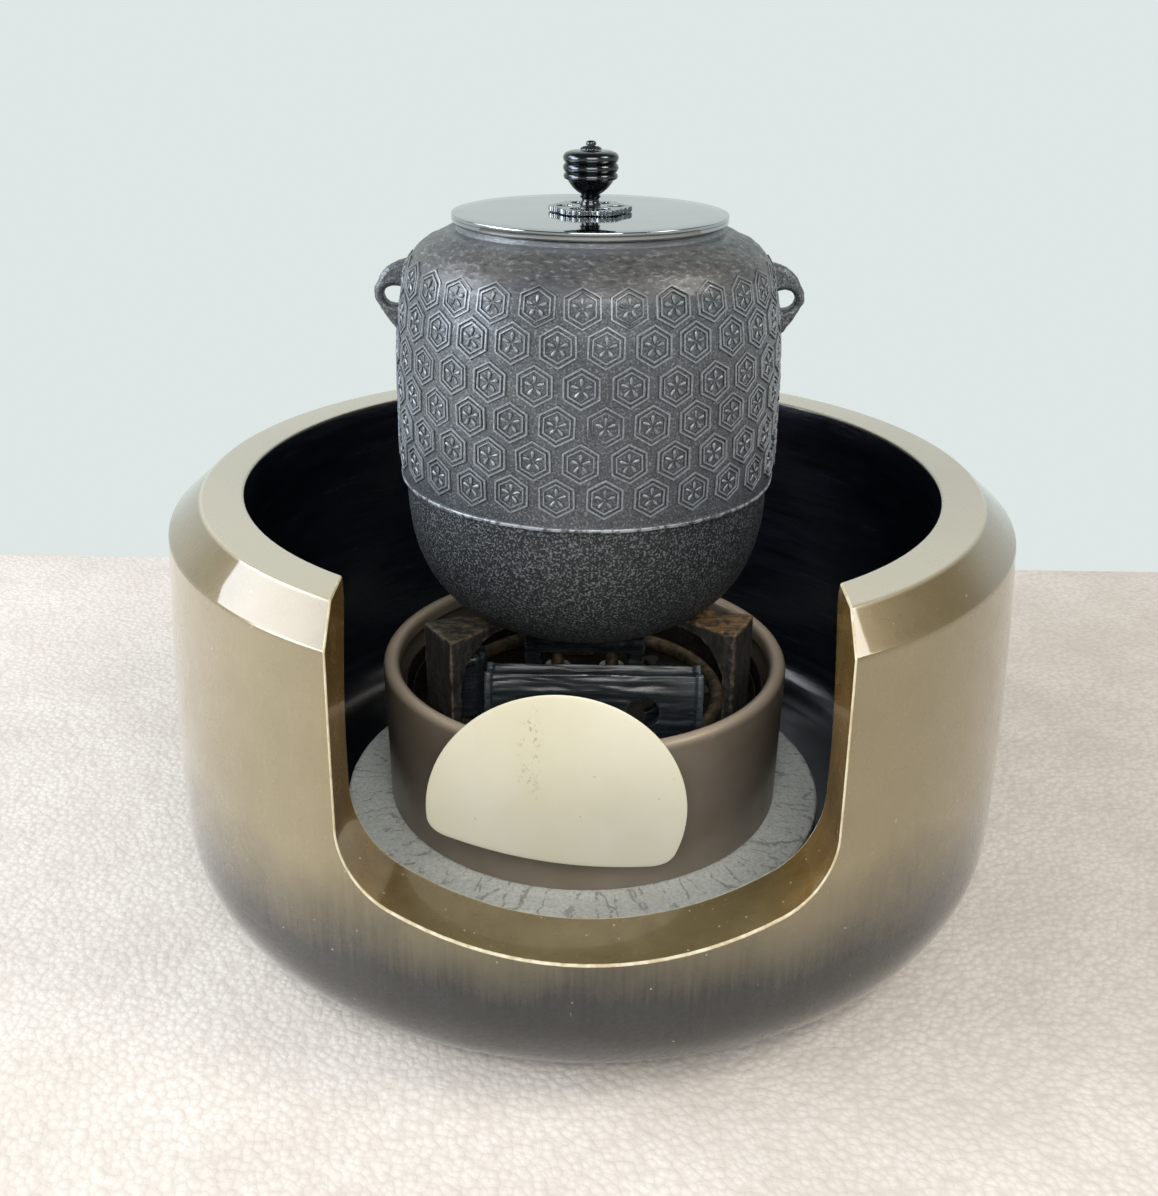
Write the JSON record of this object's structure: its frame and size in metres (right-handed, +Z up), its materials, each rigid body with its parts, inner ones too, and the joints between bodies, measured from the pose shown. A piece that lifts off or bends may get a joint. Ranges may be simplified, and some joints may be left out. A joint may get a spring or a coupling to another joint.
{
  "type": "electric tea brazier with kettle",
  "caption": "Round chamfered casing with a front window, holding an electric charcoal-look heater on a board, a hooked front tile, and a lidded iron kettle on trivet legs.",
  "frame": {"origin": "on the floor under the middle of the round casing, which is the bounding box's bottom centre", "axes": "+Z up; the front window and the tile face -Y; +X is the viewer's right from the front"},
  "size_m": [0.38, 0.38, 0.326],
  "materials": {
    "lacquered_wood": "gloss lacquer, bronze brown fading to dark grey, black inside",
    "rubber": "matte",
    "mineral_board": "rough, finely cracked",
    "painted_ring": "satin",
    "plain_steel": "satin",
    "pan_steel": "dull, heat stained",
    "element_sheath": "dull, heat stained",
    "porcelain": "smooth",
    "sleeved_wire": "woven glass sleeve",
    "trivet_iron": "rusty",
    "charcoal": "satin black, barked",
    "pale_clay": "smooth, unglazed",
    "kettle_iron": "satin, cast in relief",
    "black_bronze": "polished, patinated black"
  },
  "bodies": {
    "casing": {"casing_shell": "lacquered_wood", "pad_front": "rubber", "pad_right": "rubber", "pad_left": "rubber", "cord_bush": "rubber"},
    "board": {"insulation_board": "mineral_board"},
    "unit": {"guard_ring": "painted_ring", "base_plate": "plain_steel", "cord_gland": "rubber", "cord_clamp": "porcelain", "pan_spacer_1": "plain_steel", "pan_spacer_2": "plain_steel", "pan_spacer_3": "plain_steel", "tie_bolt_1": "plain_steel", "tie_bolt_2": "plain_steel", "tie_bolt_3": "plain_steel", "tie_nut_1": "plain_steel", "tie_nut_2": "plain_steel", "tie_nut_3": "plain_steel", "reflector_pan": "pan_steel", "heat_screen": "pan_steel", "terminal_block": "porcelain", "terminal_screw_1": "plain_steel", "terminal_screw_2": "plain_steel", "thermal_cutout": "plain_steel", "element_tube": "element_sheath", "element_bush_1": "porcelain", "element_bush_2": "porcelain", "element_clip_1": "plain_steel", "element_clip_2": "plain_steel", "element_clip_3": "plain_steel", "lead_left": "sleeved_wire", "lead_right": "sleeved_wire", "leg_rivet_1": "plain_steel", "leg_rivet_2": "plain_steel", "leg_rivet_3": "plain_steel", "trivet_leg_left": "trivet_iron", "trivet_leg_right": "trivet_iron", "trivet_leg_rear": "trivet_iron", "charcoal_front": "charcoal", "charcoal_stub": "charcoal", "charcoal_rear": "charcoal"},
    "tile": {"front_tile": "pale_clay", "tile_hook": "plain_steel", "tile_rivet_1": "plain_steel", "tile_rivet_2": "plain_steel"},
    "kettle": {"kettle_body": "kettle_iron", "kettle_lug_left": "kettle_iron", "kettle_lug_right": "kettle_iron"},
    "lid": {"kettle_lid": "black_bronze", "knob_seat": "black_bronze", "knob_rosette": "black_bronze", "knob_pin": "black_bronze"},
    "knob": {"lid_knob": "black_bronze"}
  },
  "joints": [
    {"name": "board_lift", "type": "slide", "parent": "casing", "child": "board", "axis": [0, 0, 1], "range_m": [0, 0.19]},
    {"name": "unit_lift", "type": "slide", "parent": "board", "child": "unit", "axis": [0, 0, 1], "range_m": [0, 0.18]},
    {"name": "tile_lift", "type": "slide", "parent": "unit", "child": "tile", "axis": [0, 0, 1], "range_m": [0, 0.05]},
    {"name": "kettle_lift", "type": "slide", "parent": "unit", "child": "kettle", "axis": [0, 0, 1], "range_m": [0, 0.12]},
    {"name": "lid_lift", "type": "slide", "parent": "kettle", "child": "lid", "axis": [0, 0, 1], "range_m": [0, 0.06]},
    {"name": "knob_turn", "type": "hinge", "parent": "lid", "child": "knob", "pos_m": [-0.0024, 0, 0.312], "axis": [0, 0, 1], "continuous": true}
  ]
}
